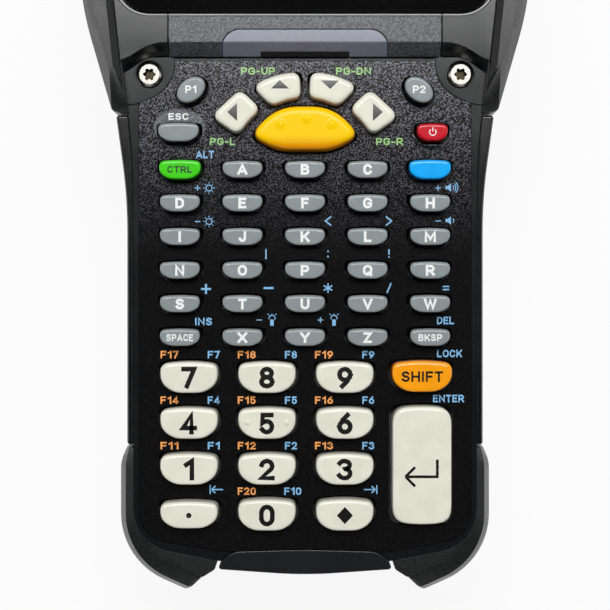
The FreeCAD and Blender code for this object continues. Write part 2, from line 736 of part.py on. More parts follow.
def make_scan_engine():
    body = rounded_box(-17.0, 17.0, 82.0, 103.0, 8.0, 27.4, 1.5)
    barrel = Part.makeCylinder(6.0, 5.0, Vector(-6.0, 102.5, 17.8), Vector(0, 1, 0))
    bore = Part.makeCylinder(4.6, 3.5, Vector(-6.0, 104.1, 17.8), Vector(0, 1, 0))
    laser = Part.makeCylinder(2.6, 3.0, Vector(8.0, 102.5, 17.8), Vector(0, 1, 0))
    return fused(body, [barrel.cut(bore), laser])


def make_scan_window():
    return box(-20.3, 20.3, 110.3, 111.5, 7.2, 28.8)


def make_speaker():
    can = post(9.0, 0.0, 69.5, 4.0, 8.0)
    rim = post(10.0, 0.0, 69.5, 3.0, 4.2)
    return fused(can, [rim])


def make_battery_pack():
    """Slab that fills the bay, with a groove for the latch and a finger step at its lower end."""
    pack = rounded_box(-BAY_HALF + 0.4, BAY_HALF - 0.4, BAY_Y[0] + 0.4, BAY_Y[1] - 0.4,
                       PACK_BOTTOM, BAY_ROOF - 0.6, 1.8)
    pack = bevel_at(pack, PACK_BOTTOM, 0.8)
    groove = box(-6.4, 6.4, BAY_Y[1] - 2.6, BAY_Y[1] + 1, 6.4, 10.6)
    step = rounded_box(-9.0, 9.0, BAY_Y[0] + 5.0, BAY_Y[0] + 11.0, -1.0, PACK_BOTTOM + 1.4, 2.5)
    return pack.cut([groove, step])


def make_battery_contacts():
    block = box(-9.0, 9.0, -33.0, -25.0, BAY_ROOF - 0.2, BAY_ROOF + 3.4)
    pads = [box(x, x + 2.0, -31.5, -26.5, BAY_ROOF - 0.45, BAY_ROOF + 0.2) for x in (-7.4, -3.4, 1.4, 5.4)]
    return fused(block, pads)


def make_battery_latch():
    """Sliding thumb piece on the waist whose tongue reaches into the pack's groove."""
    plate = rounded_box(-8.0, 8.0, -10.6, 6.0, 7.5, 9.65, 0.6)
    tongue = box(-5.0, 5.0, BAY_Y[1] - 1.6, -10.0, 7.5, 9.65)
    thumb = rounded_box(-6.4, 6.4, -8.5, 5.5, 5.4, 7.6, 1.0)
    ribs = [box(-5.6, 5.6, y, y + 0.8, 4.6, 5.6) for y in (-6.4, -4.2, -2.0, 0.2, 2.4)]
    return fused(plate, [tongue, thumb] + ribs)


def make_cradle_connector():
    block = box(-12.0, 12.0, -111.6, -105.4, 13.0, 25.0)
    block = block.cut([box(x, x + 1.6, -112.0, -111.0, 14.4, 23.6) for x in (-10.2, -6.6, -3.0, 1.4, 5.0, 8.6)])
    flange = box(-13.4, 13.4, -108.0, -105.6, 12.0, 26.0)
    return block.fuse(flange).removeSplitter()


def make_housing_screws():
    screws = []
    for x, y in case_screw_places():
        head = post(2.7, x, y, CASE_SCREW_SEAT - 2.2, CASE_SCREW_SEAT)
        head = head.cut(torx_socket(x, y, 1.25, CASE_SCREW_SEAT - 3, CASE_SCREW_SEAT - 1.0))
        shaft = post(CASE_SCREW_R, x, y, CASE_SCREW_SEAT - 0.5, BOARD_SEAT - 4.0)
        screws.append(fused(head, [shaft]))
    return Part.makeCompound(screws)


def make_side_button():
    """Long rubber-faced button in the right side of the head bumper."""
    face_x = HEAD_HALF + BUTTON_PROUD
    cap = button_window(0.0, BUTTON_BACK_X, face_x)
    rim = [edge for edge in cap.Edges
           if abs(edge.BoundBox.XMin - face_x) < 1e-4 and abs(edge.BoundBox.XMax - face_x) < 1e-4]
    cap = cap.makeChamfer(0.8, rim)
    stem = box(34.6, BUTTON_BACK_X + 0.2, BUTTON_Y - 6.0, BUTTON_Y + 6.0, BUTTON_Z - 2.5, BUTTON_Z + 2.5)
    hook = box(34.6, 35.5, BUTTON_Y - 7.6, BUTTON_Y + 7.6, BUTTON_Z - 2.5, BUTTON_Z + 2.5)
    return fused(cap, [stem, hook])


def build():
    os.makedirs("parts", exist_ok=True)
    keys, holes, places = make_keys()
    for node, solids in keys.items():
        save(node, Part.makeCompound(solids))
    save("keypad_plate", make_keypad_plate(holes))
    save("keypad_mat", make_keypad_mat(places))
    save("keypad_board", make_keypad_board())
    save("keypad_screws", make_keypad_screws())
    save("front_housing", make_front_housing())
    save("rear_housing", make_rear_housing())
    save("bezel_strip", make_bezel_strip())
    save("indicator_lens", make_indicator_lens(0.0))
    save("display_window", make_display_window())
    save("display_gasket", make_display_gasket())
    save("display_module", make_display_module())
    save("display_bracket", make_display_bracket())
    save("head_bumper", make_head_bumper())
    grip = make_side_grip()
    save("side_grip_right", grip)
    save("side_grip_left", mirror_x(grip))
    foot = make_foot_bumper()
    save("foot_bumper_right", foot)
    save("foot_bumper_left", mirror_x(foot))
    save("tail_cover", make_tail_cover())
    save("cradle_connector", make_cradle_connector())
    save("scan_window", make_scan_window())
    save("scan_engine", make_scan_engine())
    save("main_board", make_main_board())
    save("speaker", make_speaker())
    save("battery_pack", make_battery_pack())
    save("battery_contacts", make_battery_contacts())
    save("battery_latch", make_battery_latch())
    save("housing_screws", make_housing_screws())
    button = make_side_button()
    save("side_scan_button_right", button)
    save("side_scan_button_left", mirror_x(button))


build()
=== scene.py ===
import bmesh
import bpy
import json
import math
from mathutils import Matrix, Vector


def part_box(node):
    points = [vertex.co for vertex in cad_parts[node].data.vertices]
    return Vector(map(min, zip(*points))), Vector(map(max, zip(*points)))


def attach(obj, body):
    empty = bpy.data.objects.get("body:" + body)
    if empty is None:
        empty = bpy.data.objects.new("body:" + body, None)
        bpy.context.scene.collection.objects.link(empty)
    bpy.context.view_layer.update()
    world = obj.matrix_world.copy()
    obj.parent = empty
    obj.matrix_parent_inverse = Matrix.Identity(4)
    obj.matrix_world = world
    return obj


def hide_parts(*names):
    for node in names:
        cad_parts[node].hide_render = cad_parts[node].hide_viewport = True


# Portable barcode data terminal, lying on its back under a soft studio light.
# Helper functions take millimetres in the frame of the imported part; Blender gets metres.
MM = 0.001

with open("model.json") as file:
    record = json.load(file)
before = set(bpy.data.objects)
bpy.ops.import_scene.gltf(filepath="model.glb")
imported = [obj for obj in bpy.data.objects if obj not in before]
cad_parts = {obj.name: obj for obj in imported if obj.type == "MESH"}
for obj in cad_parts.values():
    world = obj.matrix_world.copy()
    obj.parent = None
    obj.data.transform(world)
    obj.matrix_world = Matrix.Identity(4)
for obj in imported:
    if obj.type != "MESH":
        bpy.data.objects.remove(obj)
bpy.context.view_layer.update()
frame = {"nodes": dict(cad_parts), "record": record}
nodes = frame["nodes"]
slot_of = {entry["node"]: entry["material_slot"] for entry in frame["record"]["subparts"]}


def low(node):
    """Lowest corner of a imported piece, in millimetres."""
    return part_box(node)[0] / MM


def high(node):
    """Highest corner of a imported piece, in millimetres."""
    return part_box(node)[1] / MM


def middle(node):
    return (low(node) + high(node)) / 2


# Heights that the pieces below are set by. The keypad screws stand a little above the plate.
SCREW_RISE = 0.3
PLATE_TOP = high("keypad_screws").z - SCREW_RISE
KEY_TOP = high("key_seven").z


# Shader tools
class Value:
    """A socket whose sums and products add Math nodes."""

    def __init__(self, paint, socket):
        self.paint = paint
        self.socket = socket

    def math(self, operation, first, second):
        return self.paint.node("ShaderNodeMath", {"operation": operation}, {0: first, 1: second})

    def __add__(self, other):
        return self.math("ADD", self, other)

    def __radd__(self, other):
        return self.math("ADD", other, self)

    def __sub__(self, other):
        return self.math("SUBTRACT", self, other)

    def __rsub__(self, other):
        return self.math("SUBTRACT", other, self)

    def __mul__(self, other):
        return self.math("MULTIPLY", self, other)

    def __rmul__(self, other):
        return self.math("MULTIPLY", other, self)


class Paint:
    """A procedural finish and the nodes that make it."""

    def __init__(self, name, holder=None, output="ShaderNodeOutputMaterial"):
        self.material = holder or bpy.data.materials.new(name)
        self.material.use_nodes = True
        self.tree = self.material.node_tree
        self.tree.nodes.clear()
        self.output = self.tree.nodes.new(output)

    def node(self, kind, settings=None, inputs=None, output=0):
        """Any node: its type, its settings first, then values or links for its sockets."""
        made = self.tree.nodes.new(kind)
        for name, value in (settings or {}).items():
            setattr(made, name, value)
        for name, value in (inputs or {}).items():
            if isinstance(value, Value):
                self.tree.links.new(value.socket, made.inputs[name])
            else:
                made.inputs[name].default_value = value
        return Value(self, made.outputs[output])

    def place(self):
        return self.node("ShaderNodeTexCoord", output="Object")

    def axes(self):
        """Object coordinates as three values, in millimetres."""
        place = self.place()
        return [self.node("ShaderNodeSeparateXYZ", None, {0: place}, axis) * (1 / MM) for axis in range(3)]

    def noise(self, size, detail=2.0, roughness=0.5):
        """Even noise from 0 to 1 whose features are about that many millimetres across."""
        inputs = {"Vector": self.place(), "Scale": 1 / (size * MM), "Detail": detail, "Roughness": roughness}
        return self.node("ShaderNodeTexNoise", None, inputs)

    def step(self, value, start, end):
        """A smooth change from 0 to 1 as the value goes from start to end."""
        settings = {"interpolation_type": "SMOOTHSTEP"}
        return self.node("ShaderNodeMapRange", settings, {0: value, 1: start, 2: end})

    def within(self, value, reach, soft):
        """One where the value is nearer to 0 than reach, with an edge that soft on each side."""
        return self.step(value * value, (reach + soft) ** 2, (reach - soft) ** 2)

    def blend(self, share, first, second):
        """A mix of two colours."""
        return self.node("ShaderNodeMix", {"data_type": "RGBA"}, {0: share, 6: first, 7: second}, 2)

    def bump(self, height, depth):
        """A normal from a height from 0 to 1 that stands for that many millimetres."""
        return self.node("ShaderNodeBump", None, {"Height": height, "Distance": depth * MM})

    def show(self, shader):
        """The finished material, with that shader on its surface."""
        self.tree.links.new(shader.socket, self.output.inputs["Surface"])
        return self.material

    def surface(self, inputs):
        return self.show(self.node("ShaderNodeBsdfPrincipled", None, inputs))


def rgb(red, green, blue):
    """A colour as it shows on a screen, from 0 to 255, as light."""
    shares = [level / 255 for level in (red, green, blue)]
    return tuple(share / 12.92 if share < 0.04045 else ((share + 0.055) / 1.055) ** 2.4
                 for share in shares) + (1.0,)


def scaled(colour, factor):
    """A colour with that many times the light."""
    return tuple(min(level * factor, 1.0) for level in colour[:3]) + (1.0,)


# Finishes
def moulded(name, colour, roughness, size=0.3, depth=0.02, mottle=0.25, soft=0.2):
    """Moulded plastic or rubber with an even fine grain, whose spots have that soft an edge."""
    paint = Paint(name)
    grain = paint.noise(size, 3.0, 0.6)
    patch = paint.noise(9.0)
    share = paint.step(grain, 0.5 - soft, 0.5 + soft)
    base = paint.blend(share, scaled(colour, 1 - mottle), scaled(colour, 1 + mottle))
    return paint.surface({
        "Base Color": base,
        "Roughness": roughness - 0.06 + 0.12 * patch,
        "Normal": paint.bump(grain, depth),
    })


def key_plastic(name, colour, painted_wall_shade, wall_top=0.5, roughness=0.2):
    """Satin key cap whose walls carry painted shade: a darker colour below the rounded edge."""
    paint = Paint(name)
    height = paint.axes()[2]
    grain = paint.noise(0.35, 2.0)
    cloud = paint.noise(4.0)
    # Painted shade: below this height the cap takes the darker colour of its walls
    share = paint.step(height, KEY_TOP - wall_top - 0.12, KEY_TOP - wall_top + 0.08)
    top = paint.blend(paint.step(cloud, 0.35, 0.65), scaled(colour, 0.97), scaled(colour, 1.03))
    return paint.surface({
        "Base Color": paint.blend(share, painted_wall_shade, top),
        "Roughness": roughness - 0.04 + 0.08 * grain,
        "Specular IOR Level": 0.35,
        "Normal": paint.bump(grain, 0.003),
    })


def scan_yellow():
    """Yellow of the scan key, with painted shade turning it orange towards its lower edge and down its
    walls.
    """
    paint = Paint("yellow_key")
    y, z = paint.axes()[1:]
    grain = paint.noise(0.35, 2.0)
    lower_edge = low("key_scan").y
    # Painted shade: orange where the cap rounds over at its lower edge and on its walls
    share = paint.step(y, lower_edge + 0.3, lower_edge + 3.4) * paint.step(z, KEY_TOP - 1.2, KEY_TOP - 0.1)
    return paint.surface({
        "Base Color": paint.blend(share, rgb(222, 138, 4), YELLOW),
        "Roughness": 0.2 + 0.08 * grain,
        "Specular IOR Level": 0.15,
        "Normal": paint.bump(grain, 0.003),
    })


# Half the width of the lens's cut-out, and where it ends towards the head, which bound the painted shadow on
# the strip
NOTCH_HALF = 8.8
NOTCH_END = -9.0


def trim_strip():
    """Speckled satin strip, with a painted shadow under the cut-out of the lens."""
    paint = Paint("strip")
    x, y = paint.axes()[:2]
    grain = paint.noise(0.34, 2.0, 0.7)
    specks = paint.blend(paint.step(grain, 0.43, 0.57), rgb(28, 29, 33), rgb(92, 95, 104))
    soft = 0.1
    # Painted shadow: near-black under the cut-out of the lens
    notch_shadow = paint.within(x, NOTCH_HALF, soft) * paint.step(y, NOTCH_END + soft, NOTCH_END - soft)
    return paint.surface({
        "Base Color": paint.blend(notch_shadow, specks, rgb(3, 3, 3)),
        "Roughness": 0.42 + 0.4 * notch_shadow,
        "Normal": paint.bump(grain, 0.02),
    })


# The painted sheen on the plate's specks fades out from the display's end of it to the number keys
SHEEN_FULL = -8.0
SHEEN_GONE = -52.0

# Grey oval round the escape key: half its width and height, and how far its middle is above the key's
PATCH_HALF_WIDE = 5.1
PATCH_HALF_HIGH = 3.7
PATCH_RISE = 1.3


def keypad_face():
    """Grained black face whose specks carry a painted sheen near the display, with a grey patch at the
    escape key.
    """
    paint = Paint("keypad_face")
    x, y = paint.axes()[:2]
    grain = paint.noise(0.4, 2.0, 0.6)
    specks = paint.step(paint.noise(0.3, 1.0, 0.7), 0.48, 0.6)
    # Painted sheen: the grain's specks turn light towards the display end of the plate
    painted_sheen = paint.step(y, SHEEN_GONE, SHEEN_FULL)
    patch_x = (x - middle("key_escape").x) * (1 / PATCH_HALF_WIDE)
    patch_y = (y - middle("key_escape").y - PATCH_RISE) * (1 / PATCH_HALF_HIGH)
    patch = paint.step(patch_x * patch_x + patch_y * patch_y, 1.1, 0.92)
    sheen_specks = paint.blend(painted_sheen, rgb(18, 17, 18), rgb(122, 122, 130))
    plain = paint.blend(specks, rgb(6, 6, 7), sheen_specks)
    grey_patch = paint.blend(specks, rgb(92, 97, 100), rgb(132, 138, 141))
    return paint.surface({
        "Base Color": paint.blend(patch, plain, grey_patch),
        "Roughness": 0.11 + 0.06 * grain,
        "Normal": paint.bump(grain, 0.02),
    })


def screw_steel():
    """Satin steel, with painted shade making it dark inside the drive recess."""
    paint = Paint("screw_steel")
    height = paint.axes()[2]
    marks = paint.noise(0.5, 4.0, 0.7)
    # Painted shade: dark olive colour below the head's face, inside the drive recess
    inside = paint.step(height, PLATE_TOP - 0.5, PLATE_TOP + 0.1)
    face = paint.blend(marks, rgb(146, 144, 138), rgb(172, 170, 164))
    return paint.surface({
        "Base Color": paint.blend(inside, rgb(52, 49, 38), face),
        "Metallic": 1.0,
        "Roughness": 0.24 + 0.08 * marks,
        "Normal": paint.bump(marks, 0.004),
    })


def metal(name, colour, roughness):
    """Machined or cast metal with a fine uneven polish."""
    paint = Paint(name)
    marks = paint.noise(0.4, 4.0, 0.7)
    return paint.surface({
        "Base Color": paint.blend(marks, scaled(colour, 0.8), scaled(colour, 1.15)),
        "Metallic": 1.0,
        "Roughness": roughness - 0.1 + 0.2 * marks,
        "Normal": paint.bump(marks, 0.01),
    })


# The display's picture area: half its width and height, and its middle along the terminal
PICTURE_HALF_WIDE = 29.4
PICTURE_HALF_HIGH = 37.4
PICTURE_MIDDLE = 44.5


def cover_glass():
    """Black glass with a faint lighter picture area inside its border."""
    paint = Paint("screen_glass")
    x, y = paint.axes()[:2]
    soft = 0.2
    inside_x = paint.within(x, PICTURE_HALF_WIDE, soft)
    inside_y = paint.within(y - PICTURE_MIDDLE, PICTURE_HALF_HIGH, soft)
    smear = paint.noise(25.0)
    return paint.surface({
        "Base Color": paint.blend(inside_x * inside_y, rgb(2, 2, 2), rgb(12, 13, 15)),
        "Roughness": 0.02 + 0.03 * smear,
        "IOR": 1.5,
    })


def smoky_lens():
    """Cloudy violet-grey light bar."""
    paint = Paint("lens")
    cloud = paint.noise(6.0)
    return paint.surface({
        "Base Color": paint.blend(cloud, rgb(118, 122, 138), rgb(130, 132, 150)),
        "Roughness": 0.22 + 0.1 * cloud,
        "Transmission Weight": 0.08,
    })


def red_filter():
    """Deep red window in front of the scanner."""
    paint = Paint("red_window")
    cloud = paint.noise(12.0)
    return paint.surface({
        "Base Color": paint.blend(cloud, rgb(60, 4, 6), rgb(84, 8, 10)),
        "Roughness": 0.06 + 0.05 * cloud,
        "Transmission Weight": 0.3,
    })


def circuit_board():
    """Green lacquered board with darker traces."""
    paint = Paint("circuit_board")
    inputs = {"Vector": paint.place(), "Scale": 260.0, "Distortion": 5.0}
    waves = paint.node("ShaderNodeTexWave", {"bands_direction": "DIAGONAL"}, inputs)
    traces = paint.step(waves, 0.45, 0.6)
    return paint.surface({
        "Base Color": paint.blend(traces, rgb(18, 82, 50), rgb(30, 104, 64)),
        "Roughness": 0.3 + 0.1 * paint.noise(2.0),
        "Normal": paint.bump(traces, 0.03),
    })


def ink(name, colour):
    """Printed legend, slightly uneven."""
    paint = Paint("ink_" + name)
    wear = paint.noise(0.5)
    return paint.surface({
        "Base Color": paint.blend(wear, scaled(colour, 0.92), scaled(colour, 1.05)),
        "Roughness": 0.22 + 0.1 * wear,
    })


def arrow_ink():
    """Black ink of the arrow marks, with a painted reflection that turns it greyer towards the head in the
    upper pair and the side pair alike.
    """
    paint = Paint("ink_arrow")
    x, y = paint.axes()[:2]
    side_pair = paint.step(x * x, 9.0 ** 2, 10.5 ** 2)
    # Painted reflection: the ink turns grey towards the head of each pair
    upper_pair_reflection = paint.step(y, -16.7, -14.6)
    side_pair_reflection = paint.step(y, -22.8, -18.8)
    share = upper_pair_reflection * (1 - side_pair) + side_pair_reflection * side_pair
    return paint.surface({
        "Base Color": paint.blend(share, rgb(10, 10, 10), rgb(104, 106, 104)),
        "Roughness": 0.3,
    })


# Colours of the keys and of the dark plastics
CREAM = rgb(226, 226, 210)
GREY = rgb(138, 146, 147)
YELLOW = rgb(250, 206, 8)
RED = rgb(200, 14, 34)
GREEN = rgb(64, 206, 18)
BLUE = rgb(6, 168, 246)
ORANGE = rgb(250, 160, 16)
SLATE = rgb(12, 15, 17)
CHARCOAL = rgb(20, 21, 23)
NEAR_BLACK = rgb(16, 17, 18)

# One finish for each slot of the record, and one each for the keypad screws, strip and side buttons
finishes = {
    "dark_housing": moulded("dark_housing", SLATE, 0.2, size=0.25, depth=0.004, mottle=0.06),
    "dark_trim": moulded("dark_trim", CHARCOAL, 0.28, size=0.4, depth=0.01, mottle=0.2),
    "keypad_face": keypad_face(),
    # The second colour of each key finish is painted shade, a darker copy of the key colour for its walls
    "cream_key": key_plastic("cream_key", CREAM, scaled(CREAM, 0.6), 0.6),
    "grey_key": key_plastic("grey_key", GREY, NEAR_BLACK, 0.4),
    "yellow_key": scan_yellow(),
    "red_key": key_plastic("red_key", RED, rgb(120, 8, 18)),
    "green_key": key_plastic("green_key", GREEN, rgb(12, 96, 6)),
    "blue_key": key_plastic("blue_key", BLUE, rgb(4, 66, 128)),
    "orange_key": key_plastic("orange_key", ORANGE, rgb(170, 84, 4)),
    "lens": smoky_lens(),
    "screen_glass": cover_glass(),
    "display_panel": moulded("display_panel", rgb(20, 22, 26), 0.2, size=2.0, depth=0.0, mottle=0.05),
    "foam": moulded("foam", rgb(24, 24, 25), 0.9, size=0.4, depth=0.08),
    "magnesium": metal("magnesium", rgb(170, 172, 174), 0.5),
    "silicone": moulded("silicone", rgb(120, 124, 124), 0.6, size=0.5, depth=0.01, mottle=0.08),
    "circuit_board": circuit_board(),
    "steel": metal("steel", rgb(200, 198, 194), 0.34),
    "bumper_rubber": moulded("bumper_rubber", rgb(15, 16, 17), 0.38, size=0.4, depth=0.03, mottle=0.8,
                             soft=0.08),
    "grip_rubber": moulded("grip_rubber", rgb(7, 8, 9), 0.2, size=0.35, depth=0.01, mottle=0.1),
    "connector_black": moulded("connector_black", NEAR_BLACK, 0.4, size=0.3, depth=0.01),
    "red_window": red_filter(),
    "engine_case": moulded("engine_case", NEAR_BLACK, 0.5, size=0.3, depth=0.01),
    "speaker_metal": metal("speaker_metal", rgb(150, 150, 152), 0.3),
    "battery_case": moulded("battery_case", rgb(44, 46, 49), 0.55, size=0.3, depth=0.02),
    "contact_brass": metal("contact_brass", rgb(222, 186, 104), 0.25),
    "keypad_screw": screw_steel(),
    "strip": trim_strip(),
    "side_button": moulded("side_button", YELLOW, 0.5, size=0.4, depth=0.02, mottle=0.04),
}


# Mesh tools
def add_mesh(name, points, faces, finish, body, smooth=True):
    """A piece from points in millimetres, riding on a body."""
    mesh = bpy.data.meshes.new(name)
    mesh.from_pydata([Vector(point) * MM for point in points], [], faces)
    mesh.materials.append(finish)
    if smooth:
        mesh.shade_smooth()
    piece = bpy.data.objects.new(name, mesh)
    bpy.context.scene.collection.objects.link(piece)
    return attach(piece, body)


def skin(rings, first_point):
    """Points and faces that join equal rings, the last one closed by a fan round its middle."""
    points = [point for ring in rings for point in ring]
    count = len(rings[0])
    faces = []
    for level in range(len(rings) - 1):
        for index in range(count):
            after = (index + 1) % count
            lower = first_point + level * count
            faces.append((lower + index, lower + after, lower + count + after, lower + count + index))
    centre = sum(rings[-1], Vector((0, 0, 0))) / count
    points.append(centre)
    last = first_point + (len(rings) - 1) * count
    hub = first_point + len(points) - 1
    faces += [(last + index, last + (index + 1) % count, hub) for index in range(count)]
    return points, faces


# Key caps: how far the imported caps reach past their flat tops, and how far the walls spread at the foot
RING_POINTS = 96
CAP_BEVEL = 0.45
DRAFT = 0.18
WALL_BOTTOM = PLATE_TOP - 1.3


def cap_outlines(node):
    """The outline of each key's flat top in a node, from left to right."""
    body = bmesh.new()
    body.from_mesh(nodes[node].data)
    bmesh.ops.remove_doubles(body, verts=body.verts, dist=1e-6)
    top = max(vertex.co.z for vertex in body.verts) - 0.01 * MM
    flat = {face for face in body.faces if all(vertex.co.z > top for vertex in face.verts)}
    rim = {edge for edge in body.edges if sum(face in flat for face in edge.link_faces) == 1}
    outlines = []
    while rim:
        edge = rim.pop()
        start, here = edge.verts
        ring = [start]
        while here != start:
            ring.append(here)
            edge = next(other for other in here.link_edges if other in rim)
            rim.remove(edge)
            here = edge.other_vert(here)
        outlines.append([vertex.co.xy / MM for vertex in ring])
    body.free()
    return sorted(outlines, key=lambda ring: sum(point.x for point in ring) / len(ring))


def evenly(ring, count):
    """The ring again, anticlockwise, as that many points an equal way apart."""
    area = sum(ring[i - 1].cross(ring[i]) for i in range(len(ring)))
    if area < 0:
        ring = ring[::-1]
    lengths = [(ring[i] - ring[i - 1]).length for i in range(len(ring))]
    pace = sum(lengths) / count
    result = []
    walked = 0.0
    for index in range(len(ring)):
        while len(result) * pace < walked + lengths[index] and len(result) < count:
            share = (len(result) * pace - walked) / lengths[index]
            result.append(ring[index - 1].lerp(ring[index], share))
        walked += lengths[index]
    return result


def relaxed(ring, rounds):
    """The ring with its corners softened that many times."""
    for _ in range(rounds):
        count = len(ring)
        ring = [(ring[i - 1] + ring[i] * 2 + ring[(i + 1) % count]) / 4 for i in range(count)]
    return ring


def outward(ring):
    """Unit vectors out of the ring at each point."""
    count = len(ring)
    result = []
    for index in range(count):
        along = (ring[(index + 1) % count] - ring[index - 1]).normalized()
        result.append(Vector((along.y, -along.x)))
    return result


def key_cap(outline, edge, crest, drop):
    """Rings of one key cap. Its edge drops and rounds over a width that grows by crest towards the head."""
    flat_top = relaxed(evenly(outline, RING_POINTS), 2)
    ring = [p + n * CAP_BEVEL for p, n in zip(flat_top, outward(flat_top))]
    ring = relaxed(evenly(ring, RING_POINTS), 2)
    normals = outward(ring)
    widths = [edge + crest * max(0.0, normal.y) for normal in normals]
    rings = []
    for spread, height in ((DRAFT, WALL_BOTTOM), (DRAFT * 0.2, KEY_TOP - drop - 0.1)):
        rings.append([Vector((*(p + n * spread), height)) for p, n in zip(ring, normals)])
    turns = 7
    for turn in range(turns):
        angle = math.radians(90 * turn / (turns - 1))
        flat = [p - n * w * (1 - math.cos(angle)) for p, n, w in zip(ring, normals, widths)]
        flat = relaxed(flat, turn)
        rings.append([Vector((*p, KEY_TOP - drop * (1 - math.sin(angle)))) for p in flat])
    inner = rings[-1]
    centre = sum(inner, Vector((0, 0, 0))) / len(inner)
    for share in (0.9, 0.6, 0.3):
        rings.append([centre.lerp(point, share) for point in inner])
    return rings


def bell(x, y, radius, height):
    """Rings of a low bump that meets the key's top without an edge."""
    half_turns = 12
    rings = []
    for share in (1.0, 0.85, 0.7, 0.55, 0.4, 0.25, 0.1):
        rise = height * (0.5 + 0.5 * math.cos(math.pi * share)) - 0.01
        rings.append([
            Vector((x + radius * share * math.cos(turn * math.pi / half_turns),
                    y + radius * share * math.sin(turn * math.pi / half_turns), KEY_TOP + rise))
            for turn in range(2 * half_turns)
        ])
    return rings


def make_key(node, edge, crest, drop, bumps=()):
    """The cap or caps of a key node, with their bumps."""
    points = []
    faces = []
    forms = [key_cap(outline, edge, crest, drop) for outline in cap_outlines(node)]
    forms += [bell(*bump) for bump in bumps]
    for rings in forms:
        more_points, more_faces = skin(rings, len(points))
        points += more_points
        faces += more_faces
    piece = add_mesh("cap_" + node[4:], points, faces, finishes[slot_of[node]], node)
    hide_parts(node)


ARROWS = ["key_arrow_up", "key_arrow_down", "key_arrow_left", "key_arrow_right"]
NUMBER_KEYS = ["key_seven", "key_eight", "key_nine", "key_four", "key_five", "key_six",
               "key_one", "key_two", "key_three", "key_point", "key_zero", "key_diamond"]
SMALL_KEYS = ["key_program_left", "key_program_right", "key_escape", "key_power", "key_control",
              "key_function", "key_row_a", "key_row_b", "key_row_c", "key_row_d", "key_row_e", "key_row_f"]

# Raised dots as middle, radius and height
SCAN_BUMPS = [(-4.85, -23.6, 1.3, 0.3), (0.3, -22.5, 1.3, 0.3), (5.35, -23.6, 1.3, 0.3)]
FIVE_BUMPS = [(-11.4, -82.7, 0.75, 0.28), (-3.7, -82.7, 0.75, 0.28)]

for node in ARROWS:
    make_key(node, edge=0.75, crest=0.3, drop=0.6)
for node in SMALL_KEYS:
    make_key(node, edge=0.35, crest=0.25, drop=0.4)
for node in NUMBER_KEYS + ["key_shift", "key_enter"]:
    make_key(node, edge=0.45, crest=0.45, drop=0.45, bumps=FIVE_BUMPS if node == "key_five" else ())
make_key("key_scan", edge=1.1, crest=0.3, drop=0.9, bumps=SCAN_BUMPS)


# Legends
inks = {
    "arrow": arrow_ink(),
    "white": ink("white", rgb(238, 240, 240)),
    "black": ink("black", rgb(14, 14, 14)),
    "green": ink("green", rgb(146, 200, 116)),
    "blue": ink("blue", rgb(132, 188, 232)),
    "orange": ink("orange", rgb(244, 164, 92)),
}

# The first shape of a print lies this far above its surface, and each one a little above the one before,
# so that none share a plane
INK_LIFT = 0.015
LAYER = 0.0005


def bow(x, y, half_wide, half_high, start, end):
    """Points along part of an oval, from one angle to another in degrees."""
    steps = 12
    angles = [math.radians(start + (end - start) * step / steps) for step in range(steps + 1)]
    return [(x + half_wide * math.cos(angle), y + half_high * math.sin(angle)) for angle in angles]


def oval(y, half_high, half_wide=0.5):
    """A closed round path whose middle is at that height."""
    path = bow(0.5, y, half_wide, half_high, 0, 360)
    return path[:-1] + path[:1]


STEM = [(0, 0), (0, 1)]
LONG_OVAL = bow(0.5, 0.64, 0.5, 0.36, 0, 180) + bow(0.5, 0.36, 0.5, 0.36, 180, 360)
LONG_OVAL.append(LONG_OVAL[0])

